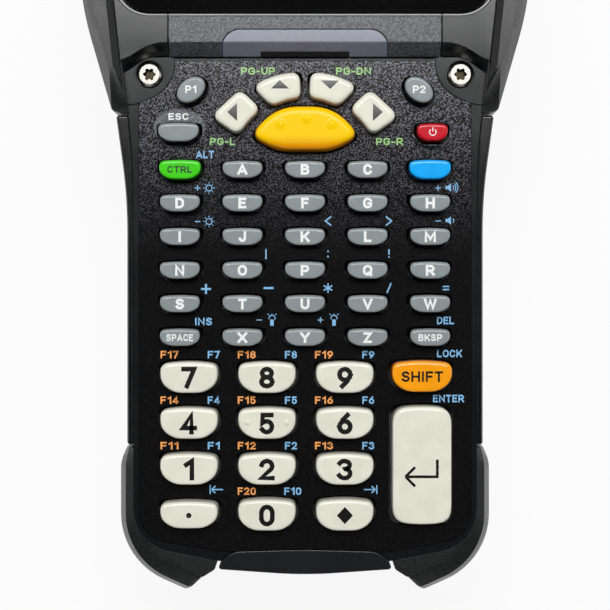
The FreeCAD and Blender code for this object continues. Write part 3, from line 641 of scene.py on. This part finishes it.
# Letters as a width and the paths of their strokes, in a box one unit wide and high
GLYPHS = {
    "A": (0.95, [[(0, 0), (0.5, 1), (1, 0)], [(0.24, 0.26), (0.76, 0.26)]]),
    "B": (0.8, [STEM, [(0, 1)] + bow(0.55, 0.77, 0.38, 0.23, 90, -90) + [(0.1, 0.54)],
                [(0.1, 0.54)] + bow(0.6, 0.27, 0.4, 0.27, 90, -90) + [(0, 0)]]),
    "C": (0.82, [bow(0.5, 0.66, 0.5, 0.34, 22, 180) + bow(0.5, 0.34, 0.5, 0.34, 180, 338)]),
    "D": (0.82, [STEM, [(0, 1)] + bow(0.4, 0.6, 0.6, 0.4, 90, 0) + bow(0.4, 0.4, 0.6, 0.4, 0, -90)
                 + [(0, 0)]]),
    "E": (0.74, [[(1, 1), (0, 1), (0, 0), (1, 0)], [(0.1, 0.52), (0.85, 0.52)]]),
    "F": (0.72, [[(1, 1), (0, 1), (0, 0)], [(0.1, 0.5), (0.85, 0.5)]]),
    "G": (0.85, [bow(0.5, 0.66, 0.5, 0.34, 25, 180) + bow(0.5, 0.34, 0.5, 0.34, 180, 350)
                 + [(1, 0.46), (0.62, 0.46)]]),
    "H": (0.86, [STEM, [(1, 0), (1, 1)], [(0.1, 0.5), (0.9, 0.5)]]),
    "I": (0.24, [[(0.5, 0), (0.5, 1)]]),
    "J": (0.7, [[(1, 1)] + bow(0.5, 0.34, 0.5, 0.34, 0, -165)]),
    "K": (0.84, [STEM, [(1, 1), (0.12, 0.36)], [(0.42, 0.56), (1, 0)]]),
    "L": (0.7, [[(0, 1), (0, 0), (1, 0)]]),
    "M": (1.05, [[(0, 0), (0, 1), (0.5, 0.22), (1, 1), (1, 0)]]),
    "N": (0.86, [[(0, 0), (0, 1), (1, 0), (1, 1)]]),
    "O": (0.86, [LONG_OVAL]),
    "P": (0.8, [STEM, [(0, 1)] + bow(0.58, 0.71, 0.42, 0.29, 90, -90) + [(0.1, 0.42)]]),
    "Q": (0.88, [LONG_OVAL, [(0.62, 0.22), (0.98, -0.06)]]),
    "R": (0.84, [STEM, [(0, 1)] + bow(0.56, 0.72, 0.42, 0.28, 90, -90) + [(0.1, 0.44)],
                 [(0.52, 0.42), (1, 0)]]),
    "S": (0.8, [bow(0.5, 0.76, 0.46, 0.24, 20, 270) + bow(0.5, 0.26, 0.5, 0.26, 90, -160)]),
    "T": (0.8, [[(0, 1), (1, 1)], [(0.5, 0), (0.5, 0.9)]]),
    "U": (0.84, [[(0, 1)] + bow(0.5, 0.36, 0.5, 0.36, 180, 360) + [(1, 1)]]),
    "V": (0.92, [[(0, 1), (0.5, 0), (1, 1)]]),
    "W": (1.2, [[(0, 1), (0.25, 0), (0.5, 0.9), (0.75, 0), (1, 1)]]),
    "X": (0.92, [[(0, 0), (1, 1)], [(0, 1), (1, 0)]]),
    "Y": (0.9, [[(0, 1), (0.5, 0.42), (1, 1)], [(0.5, 0), (0.5, 0.4)]]),
    "Z": (0.78, [[(0, 1), (1, 1), (0, 0), (1, 0)]]),
    "0": (0.72, [LONG_OVAL]),
    "1": (0.5, [[(0.1, 0.78), (1, 1), (1, 0)]]),
    "2": (0.72, [bow(0.5, 0.7, 0.48, 0.3, 165, -35) + [(0, 0), (1, 0)]]),
    "3": (0.72, [bow(0.46, 0.77, 0.48, 0.23, 155, -80) + bow(0.46, 0.27, 0.52, 0.27, 80, -155)]),
    "4": (0.76, [[(0.72, 0), (0.72, 1), (0, 0.24), (1, 0.24)]]),
    "5": (0.7, [[(0.92, 1), (0.12, 1), (0.06, 0.52)] + bow(0.48, 0.32, 0.5, 0.32, 120, -150)]),
    "6": (0.72, [oval(0.32, 0.32), [(0.74, 1), (0.3, 0.72), (0.0, 0.36)]]),
    "7": (0.7, [[(0, 1), (1, 1), (0.32, 0)]]),
    "8": (0.72, [oval(0.76, 0.24, 0.44), oval(0.26, 0.26)]),
    "9": (0.72, [oval(0.68, 0.32), [(0.26, 0), (0.7, 0.28), (1.0, 0.64)]]),
    "-": (0.5, [[(0, 0.4), (1, 0.4)]]),
    "<": (0.7, [[(1, 1), (0, 0.5), (1, 0)]]),
    ">": (0.7, [[(0, 1), (1, 0.5), (0, 0)]]),
    "|": (0.2, [[(0.5, 0), (0.5, 1)]]),
    ":": (0.3, [[(0.5, 0.02), (0.5, 0.06)], [(0.5, 0.94), (0.5, 0.98)]]),
    "!": (0.2, [[(0.5, 0), (0.5, 0.02)], [(0.5, 0.4), (0.5, 1)]]),
    "*": (1.0, [[(0.5, 0), (0.5, 1)], [(0.05, 0.25), (0.95, 0.75)], [(0.05, 0.75), (0.95, 0.25)]]),
    "/": (0.5, [[(0, 0), (1, 1)]]),
    "=": (1.0, [[(0, 0.2), (1, 0.2)], [(0, 0.8), (1, 0.8)]]),
}


class Sheet:
    """Flat printed shapes of one colour on one body, gathered into a single piece."""

    def __init__(self, body, colour, height):
        self.body = body
        self.colour = colour
        self.height = height + INK_LIFT
        self.points = []
        self.faces = []

    def add(self, outline, faces=None):
        """A shape as its points, and its faces if it has more than one."""
        first = len(self.points)
        self.height += LAYER
        self.points += [(x, y, self.height) for x, y in outline]
        self.faces += [tuple(first + index for index in face) for face in faces or [range(len(outline))]]

    def stroke(self, path, width, closed=False):
        """A line of even width along a path, with mitred corners and square ends."""
        path = [Vector(point) for point in path]
        count = len(path)
        outline = []
        for index, point in enumerate(path):
            first = index == 0 and not closed
            last = index == count - 1 and not closed
            after = (path[(index + 1) % count] - point).normalized()
            before = (point - path[index - 1]).normalized()
            if first:
                before = after
                point = point - after * width / 2
            if last:
                after = before
                point = point + before * width / 2
            side = (before + after).normalized()
            side = Vector((-side.y, side.x))
            reach = width / 2 / max(side.dot(Vector((-after.y, after.x))), 0.5)
            outline += [point - side * reach, point + side * reach]
        spans = count if closed else count - 1
        faces = []
        for index in range(spans):
            near = 2 * index
            far = 2 * ((index + 1) % count)
            faces.append((near, far, far + 1, near + 1))
        self.add(outline, faces)

    def text(self, words, x, y, cap, width=None, weight=0.2):
        """Plain capitals centred on a point, with that height and, if given, that whole width."""
        gap = 0.16
        strokes = []
        reach = 0.0
        for letter in words:
            wide, paths = GLYPHS[letter]
            for path in paths:
                closed = path[0] == path[-1]
                points = path[:-1] if closed else path
                placed = [(reach + weight / 2 + u * (wide - weight), weight / 2 + v * (1 - weight))
                          for u, v in points]
                strokes.append((placed, closed))
            reach += wide + gap
        reach -= gap
        shrink = width / (reach * cap) if width else 1.0
        for path, closed in strokes:
            first = len(self.points)
            self.stroke([(u * cap, v * cap) for u, v in path], weight * cap, closed)
            for index in range(first, len(self.points)):
                u, v, height = self.points[index]
                self.points[index] = (x + (u - reach * cap / 2) * shrink, y + v - cap / 2, height)

    def line(self, x0, y0, x1, y1, width):
        """A straight line of that width with square ends."""
        along = Vector((x1 - x0, y1 - y0)).normalized()
        side = Vector((-along.y, along.x)) * width / 2
        start = Vector((x0, y0))
        end = Vector((x1, y1))
        self.add([start - side, end - side, end + side, start + side])

    def ring(self, x, y, radius, width, start=0, end=360):
        """Part of a round line, from one angle to another in degrees."""
        steps = 24
        inner = radius - width / 2
        outer = radius + width / 2
        points = []
        for step in range(steps + 1):
            angle = math.radians(start + (end - start) * step / steps)
            points.append((x + inner * math.cos(angle), y + inner * math.sin(angle)))
            points.append((x + outer * math.cos(angle), y + outer * math.sin(angle)))
        self.add(points, [(2 * s, 2 * s + 1, 2 * s + 3, 2 * s + 2) for s in range(steps)])

    def plus(self, x, y, size, width):
        self.line(x - size / 2, y, x + size / 2, y, width)
        self.line(x, y - size / 2, x, y + size / 2, width)

    def sun(self, x, y):
        """Brightness sign: a ring with eight short rays."""
        self.ring(x, y, 0.6, 0.18)
        for turn in range(8):
            angle = math.radians(45 * turn)
            reach = Vector((math.cos(angle), math.sin(angle)))
            self.line(x + reach.x * 0.85, y + reach.y * 0.85, x + reach.x * 1.15, y + reach.y * 1.15, 0.14)

    def speaker(self, x, y, waves):
        """Sound sign: a speaker with that many waves."""
        self.add([(x - 0.9, y - 0.32), (x - 0.4, y - 0.32), (x + 0.2, y - 0.85), (x + 0.2, y + 0.85),
                  (x - 0.4, y + 0.32), (x - 0.9, y + 0.32)])
        for wave in range(waves):
            self.ring(x + 0.2, y, 0.55 + 0.42 * wave, 0.16, -48, 48)

    def torch(self, x, y):
        """Light sign: a torch with three rays."""
        self.add([(x - 0.35, y - 1.15), (x + 0.35, y - 1.15), (x + 0.35, y + 0.1), (x - 0.35, y + 0.1)])
        self.ring(x, y + 0.35, 0.6, 0.18, -20, 200)
        for lean in (-0.6, 0.0, 0.6):
            self.line(x + lean, y + 1.0, x + lean * 1.5, y + 1.25, 0.14)

    def finish(self):
        """The whole sheet as one piece."""
        name = "print_" + self.colour + "_" + self.body
        add_mesh(name, self.points, self.faces, inks[self.colour], self.body, smooth=False)


LETTER_PITCH = 12.4
THIN_LINE = 0.2
THICK_LINE = 0.4
PLATE_CAP = 1.5


def letter_rows():
    """White letters on the six rows of small keys."""
    rows = {
        "key_row_a": ["A", "B", "C"],
        "key_row_b": ["D", "E", "F", "G", "H"],
        "key_row_c": ["I", "J", "K", "L", "M"],
        "key_row_d": ["N", "O", "P", "Q", "R"],
        "key_row_e": ["S", "T", "U", "V", "W"],
        "key_row_f": ["SPACE", "X", "Y", "Z", "BKSP"],
    }
    for node, letters in rows.items():
        sheet = Sheet(node, "white", KEY_TOP)
        centre = middle(node)
        for index, letter in enumerate(letters):
            x = centre.x + (index - (len(letters) - 1) / 2) * LETTER_PITCH
            if len(letter) == 1:
                sheet.text(letter, x, centre.y, 2.15, weight=0.24)
            else:
                sheet.text(letter, x, centre.y, 1.4, width=5.3 if letter == "SPACE" else 4.7)
        sheet.finish()


def number_keys():
    """Black figures on the number keys, with the point and the diamond."""
    figures = {"key_seven": "7", "key_eight": "8", "key_nine": "9", "key_four": "4", "key_five": "5",
               "key_six": "6", "key_one": "1", "key_two": "2", "key_three": "3", "key_zero": "0"}
    for node, figure in figures.items():
        sheet = Sheet(node, "black", KEY_TOP)
        sheet.text(figure, middle(node).x, middle(node).y, 4.3, weight=0.215)
        sheet.finish()
    sheet = Sheet("key_point", "black", KEY_TOP)
    sheet.ring(middle("key_point").x, middle("key_point").y, 0.28, 0.5)
    sheet.finish()
    sheet = Sheet("key_diamond", "black", KEY_TOP)
    centre = middle("key_diamond")
    half_wide = 1.6
    half_high = 1.7
    sheet.add([(centre.x, centre.y - half_high), (centre.x + half_wide, centre.y),
               (centre.x, centre.y + half_high), (centre.x - half_wide, centre.y)])
    sheet.finish()


def other_keys():
    """Words on the control, shift and program keys, and the signs on enter and power."""
    words = [
        ("key_control", "CTRL", "black", 1.35, 4.9),
        ("key_shift", "SHIFT", "black", 2.1, 8.2),
        ("key_program_left", "P1", "white", 1.5, None),
        ("key_program_right", "P2", "white", 1.5, None),
    ]
    for node, word, colour, cap, width in words:
        sheet = Sheet(node, colour, KEY_TOP)
        sheet.text(word, middle(node).x, middle(node).y, cap, width)
        sheet.finish()

    sheet = Sheet("key_enter", "black", KEY_TOP)
    centre = middle("key_enter")
    left = centre.x - 3.3
    right = centre.x + 3.0
    bar = centre.y - 2.2
    stem = 3.4
    barb = 1.9
    width = 0.55
    sheet.line(left + 0.3, bar, right + 0.25, bar, width)
    sheet.line(right, bar, right, bar + stem, width)
    sheet.line(left, bar, left + barb, bar + barb, width)
    sheet.line(left, bar, left + barb, bar - barb, width)
    sheet.finish()

    sheet = Sheet("key_power", "white", KEY_TOP)
    centre = middle("key_power")
    sheet.ring(centre.x, centre.y, 0.65, THIN_LINE, 130, 410)
    sheet.line(centre.x, centre.y + 0.1, centre.x, centre.y + 0.95, THIN_LINE)
    sheet.finish()


def arrow_marks():
    """Dark triangles on the four arrow keys."""
    for side in (-1, 1):
        tip = (side * 15.4, -21.2)
        sheet = Sheet("key_arrow_left" if side < 0 else "key_arrow_right", "arrow", KEY_TOP)
        sheet.add([tip, (side * 13.45, -19.4), (side * 13.45, -23.0)][::-side])
        sheet.finish()
    up = Sheet("key_arrow_up", "arrow", KEY_TOP)
    up.add([(-6.75, -16.55), (-3.15, -16.55), (-5.0, -14.85)])
    up.finish()
    down = Sheet("key_arrow_down", "arrow", KEY_TOP)
    down.add([(6.75, -14.95), (3.15, -14.95), (5.0, -16.65)])
    down.finish()


def sign_legends(blue):
    """Blue words and signs above and beside the keys."""
    for words, x, y, width in [("ALT", -20.0, -29.3, 3.6), ("INS", -20.3, -62.7, 3.4),
                               ("DEL", 28.1, -62.5, 3.4), ("LOCK", 28.9, -69.1, 5.0),
                               ("ENTER", 28.7, -78.1, 6.2)]:
        blue.text(words, x, y, PLATE_CAP, width)
    for sign, x, y, cap in [("<", 4.6, -42.6, 1.9), (">", 16.8, -42.6, 1.9), ("|", -7.8, -49.2, 2.0),
                            (":", 4.6, -49.2, 1.4), ("!", 16.8, -49.1, 1.7), ("*", 4.6, -56.0, 1.9),
                            ("/", 16.8, -56.0, 2.0), ("=", 28.2, -56.0, 1.3)]:
        blue.text(sign, x, y, cap, weight=0.28 / cap)
    blue.plus(-19.8, -56.2, 2.0, THICK_LINE)
    blue.line(-8.3, -56.0, -6.3, -56.0, THICK_LINE)

    small_plus = 1.1
    blue.plus(-21.5, -36.0, small_plus, THIN_LINE)
    blue.sun(-19.2, -36.0)
    blue.line(-22.0, -42.7, -20.9, -42.7, THIN_LINE)
    blue.sun(-19.2, -42.7)
    blue.plus(26.6, -36.0, small_plus, THIN_LINE)
    blue.speaker(29.0, -35.9, 3)
    blue.line(26.1, -42.6, 27.2, -42.6, THIN_LINE)
    blue.speaker(29.0, -42.5, 1)
    blue.line(-9.7, -62.4, -8.6, -62.4, THIN_LINE)
    blue.torch(-6.6, -62.4)
    blue.plus(3.1, -62.4, small_plus, THIN_LINE)
    blue.torch(5.8, -62.4)


def function_legends(orange, blue):
    """F-numbers above the number keys, orange over the left end of each and blue over the right."""
    rise = 4.45
    left_reach = 4.1
    two_figures = 3.6
    rows = [(["key_seven", "key_eight", "key_nine"], (17, 18, 19), (7, 8, 9)),
            (["key_four", "key_five", "key_six"], (14, 15, 16), (4, 5, 6)),
            (["key_one", "key_two", "key_three"], (11, 12, 13), (1, 2, 3))]
    for keys, upper, lower in rows:
        for node, left, right in zip(keys, upper, lower):
            centre = middle(node)
            orange.text("F" + str(left), centre.x - left_reach, centre.y + rise, PLATE_CAP, two_figures)
            blue.text("F" + str(right), centre.x + 4.75, centre.y + rise, PLATE_CAP, 2.4)
    zero = middle("key_zero")
    orange.text("F20", zero.x - left_reach, zero.y + rise, PLATE_CAP, two_figures)
    blue.text("F10", zero.x + 5.1, zero.y + rise, PLATE_CAP, 3.4)


def end_arrows(blue):
    """Arrows that point at a bar, left of the zero key and right of the diamond key."""
    y = -96.3
    width = 0.24
    for x, point in ((-17.7, -1), (13.1, 1)):
        blue.line(x + point * 1.25, y - 0.9, x + point * 1.25, y + 0.9, width)
        blue.line(x - point * 1.3, y, x + point * 0.9, y, width)
        blue.line(x + point * 0.95, y, x + point * 0.2, y + 0.7, width)
        blue.line(x + point * 0.95, y, x + point * 0.2, y - 0.7, width)


def plate_legends():
    """Coloured legends printed on the keypad plate."""
    green = Sheet("terminal", "green", PLATE_TOP)
    for words, x, y, width in [("PG-UP", -9.4, -12.6, 6.8), ("PG-DN", 9.7, -12.6, 7.0),
                               ("PG-L", -16.5, -26.7, 5.0), ("PG-R", 16.9, -26.7, 5.4)]:
        green.text(words, x, y, 1.45, width)
    green.finish()

    white = Sheet("terminal", "white", PLATE_TOP)
    white.text("ESC", -25.3, -21.7, 1.35, 4.0)
    white.finish()

    blue = Sheet("terminal", "blue", PLATE_TOP)
    orange = Sheet("terminal", "orange", PLATE_TOP)
    sign_legends(blue)
    function_legends(orange, blue)
    orange.finish()
    end_arrows(blue)
    blue.finish()


letter_rows()
number_keys()
other_keys()
arrow_marks()
plate_legends()


# Thin lip of the frame round the display window: the radius of the window's corners, the width of the
# parting at each end of the trim strip, and the lip's section as points out from the glass and up
GLASS_CORNER = 6.4
LIP_PARTING = 0.3
LIP_PROFILE = [(0.26, -0.62), (0.28, -0.03), (0.36, 0.02), (0.55, 0.05), (0.75, 0.07), (0.9, 0.07),
               (0.95, -0.03)]


def display_lip():
    """A narrow nearly flat bead round the glass, parted where the trim strip meets the frame."""
    corner = Vector((GLASS_CORNER, GLASS_CORNER, 0))
    near = low("display_window") + corner
    far = high("display_window") - corner
    strip = high("bezel_strip")
    path = [(Vector((x, near.y)), Vector((0.0, -1.0)))
            for x in (-strip.x - LIP_PARTING, -strip.x, strip.x, strip.x + LIP_PARTING)]
    steps = 12
    for x, y, start in [(far.x, near.y, -90), (far.x, far.y, 0), (near.x, far.y, 90),
                        (near.x, near.y, 180)]:
        for step in range(steps + 1):
            angle = math.radians(start + 90 * step / steps)
            path.append((Vector((x, y)), Vector((math.cos(angle), math.sin(angle)))))
    points = [(*(place + way * (GLASS_CORNER + offset)), strip.z + rise)
              for place, way in path for offset, rise in LIP_PROFILE]
    across = len(LIP_PROFILE)
    partings = (0, 2)
    faces = []
    for index in range(len(path)):
        if index in partings:
            continue
        here = index * across
        there = (index + 1) % len(path) * across
        for step in range(across - 1):
            faces.append((here + step, here + step + 1, there + step + 1, there + step))
    piece = add_mesh("display_lip", points, faces, finishes["dark_housing"], "terminal")


display_lip()


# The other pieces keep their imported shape, with softened edges
def finished(node):
    """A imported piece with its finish, and with the doubled points of its faces joined."""
    piece = nodes[node]
    piece.data.materials.clear()
    piece.data.materials.append(finishes[slot_of[node]])
    piece.data.shade_smooth()
    weld = piece.modifiers.new("weld", "WELD")
    weld.merge_threshold = 0.002 * MM
    return piece


def dress(node, edge):
    """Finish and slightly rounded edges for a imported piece."""
    piece = finished(node)
    flat = piece.modifiers.new("flat", "DECIMATE")
    flat.decimate_type = "DISSOLVE"
    flat.angle_limit = math.radians(0.5)
    bevel = piece.modifiers.new("edges", "BEVEL")
    bevel.width = edge * MM
    bevel.segments = 3
    bevel.limit_method = "ANGLE"
    bevel.angle_limit = math.radians(32)
    bevel.harden_normals = True
    bevel.miter_outer = "MITER_ARC"
    weighted = piece.modifiers.new("normals", "WEIGHTED_NORMAL")
    weighted.keep_sharp = True


def dress_sharp(node):
    """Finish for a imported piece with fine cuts, whose edges stay sharp."""
    piece = finished(node)
    split = piece.modifiers.new("edges", "EDGE_SPLIT")
    split.split_angle = math.radians(30)


# Width of the rounded edges of each piece
SMALL_EDGE = 0.12
EDGES = {
    "front_housing": 0.3, "rear_housing": 0.4, "bezel_strip": 0.3, "indicator_lens": 0.2,
    "display_window": 0.15, "keypad_plate": 0.15, "head_bumper": 0.5, "side_grip_left": 0.5,
    "side_grip_right": 0.5, "foot_bumper_left": 0.5, "foot_bumper_right": 0.5, "tail_cover": 0.4,
    "side_scan_button_left": 0.3, "side_scan_button_right": 0.3, "battery_latch": 0.2, "battery_pack": 0.3,
}
SHARP = ["keypad_screws", "housing_screws", "cradle_connector"]

# These pieces have a finish of their own in their slot
slot_of["side_scan_button_left"] = "side_button"
slot_of["side_scan_button_right"] = "side_button"
slot_of["keypad_screws"] = "keypad_screw"
slot_of["bezel_strip"] = "strip"

for node in nodes:
    if node in SHARP:
        dress_sharp(node)
    elif not node.startswith("key_"):
        dress(node, EDGES.get(node, SMALL_EDGE))


# Studio, in metres and watts
WORLD_FILL = 0.07
WHITE = (1.0, 1.0, 1.0, 1.0)
LIGHT_TARGET = (0.0, -0.04, 0.04)
LIGHTS = [
    ("head_softbox", (0.0, 0.352, 0.93), 0.6, 0.3, 8.3),
    ("left_softbox", (-0.8, -0.05, 0.36), 0.4, 0.6, 1.6),
    ("right_softbox", (0.8, -0.05, 0.36), 0.4, 0.6, 1.6),
    ("tail_softbox", (0.0, -0.8, 0.5), 0.6, 0.3, 0.8),
]
CAMERA_DISTANCE = 0.3
CAMERA_Y = -0.0594
SEEN_WIDTH = 0.122


def area_light(name, place, width, height, power):
    """A softbox at that place, aimed at the terminal."""
    lamp = bpy.data.lights.new(name, "AREA")
    lamp.shape = "RECTANGLE"
    lamp.size = width
    lamp.size_y = height
    lamp.energy = power
    holder = bpy.data.objects.new(name, lamp)
    holder.location = place
    aim = Vector(LIGHT_TARGET) - Vector(place)
    holder.rotation_euler = aim.to_track_quat("-Z", "Y").to_euler()
    holder.visible_camera = False
    bpy.context.scene.collection.objects.link(holder)


def background_rays(paint):
    """Two shares of the rays that may meet the white background: the camera's, and those off or through
    the glossy and clear pieces."""
    camera = paint.node("ShaderNodeLightPath", output="Is Camera Ray")
    glossy = paint.node("ShaderNodeLightPath", output="Is Glossy Ray")
    clear = paint.node("ShaderNodeLightPath", output="Is Transmission Ray")
    return camera, glossy + clear


def make_floor():
    """Pale floor that shows white, with part of the terminal's shadow left in."""
    paint = Paint("floor")
    camera, gloss = background_rays(paint)
    pale = paint.node("ShaderNodeBsdfDiffuse", None, {"Color": (0.8, 0.8, 0.8, 1.0)})
    white = paint.node("ShaderNodeEmission", None, {"Color": WHITE, "Strength": 1.0})
    seen = (camera + gloss) * 0.9
    paint.show(paint.node("ShaderNodeMixShader", None, {0: seen, 1: pale, 2: white}))
    half = 4.0
    corners = [(-half, -half, 0), (half, -half, 0), (half, half, 0), (-half, half, 0)]
    mesh = bpy.data.meshes.new("floor")
    mesh.from_pydata(corners, [], [(0, 1, 2, 3)])
    mesh.materials.append(paint.material)
    floor = bpy.data.objects.new("floor", mesh)
    bpy.context.scene.collection.objects.link(floor)


def make_world():
    """White to the camera and low down in reflections, and a dim even fill for everything else."""
    world = bpy.data.worlds.new("studio")
    bpy.context.scene.world = world
    paint = Paint("studio", world, "ShaderNodeOutputWorld")
    camera, gloss = background_rays(paint)
    way = paint.node("ShaderNodeTexCoord", output="Generated")
    rise = paint.node("ShaderNodeSeparateXYZ", None, {0: way}, 2)
    share = camera + gloss * paint.step(rise, 0.35, 0.1)
    colour = paint.blend(share, scaled(WHITE, WORLD_FILL), WHITE)
    paint.show(paint.node("ShaderNodeBackground", None, {"Color": colour}))


def make_camera():
    """Straight down over the keypad, as far off as the photograph's perspective shows."""
    lens = bpy.data.cameras.new("camera")
    lens.sensor_width = 36.0
    lens.sensor_height = 36.0
    lens.sensor_fit = "HORIZONTAL"
    lens.angle = 2 * math.atan(SEEN_WIDTH / 2 / CAMERA_DISTANCE)
    lens.clip_start = 0.01
    holder = bpy.data.objects.new("camera", lens)
    holder.location = (0.0, CAMERA_Y, PLATE_TOP * MM + CAMERA_DISTANCE)
    bpy.context.scene.collection.objects.link(holder)
    bpy.context.scene.camera = holder


make_floor()
make_world()
make_camera()
for light in LIGHTS:
    area_light(*light)
bpy.context.scene.view_settings.view_transform = "Standard"
